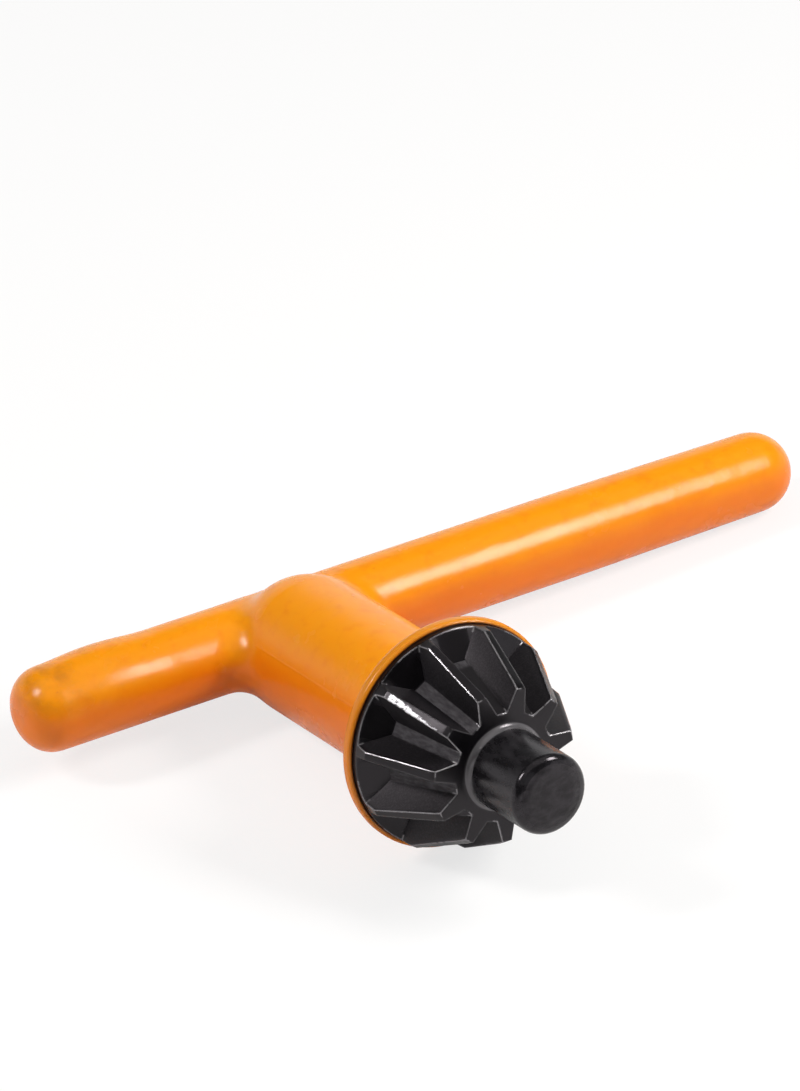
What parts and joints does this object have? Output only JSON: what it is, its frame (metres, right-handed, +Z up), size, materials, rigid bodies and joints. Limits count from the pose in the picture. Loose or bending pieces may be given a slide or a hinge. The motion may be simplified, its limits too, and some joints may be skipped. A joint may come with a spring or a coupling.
{
  "type": "drill chuck key",
  "caption": "Drill chuck key: black bevel pinion with a pilot pin on an orange moulded T handle with a long and a short arm, for turning the ring of a keyed drill chuck.",
  "frame": {"origin": "on the surface that the key lies on, under the middle of its bounding box", "axes": "+X towards the tip of the handle's long arm, -Y the way the pilot pin points, +Z up from the surface"},
  "size_m": [0.0896, 0.052, 0.0227],
  "materials": {
    "black_steel": "hardened steel with a glossy black oxide finish, duller on the milled floors of the tooth gaps",
    "bright_steel": "plain drawn steel rod, hidden in the handle",
    "orange_plastic": "semi-gloss moulded plastic, slightly uneven, with light handling marks"
  },
  "bodies": {
    "root": {"pinion_key": "black_steel", "tommy_bar": "bright_steel", "handle": "orange_plastic"}
  },
  "joints": []
}
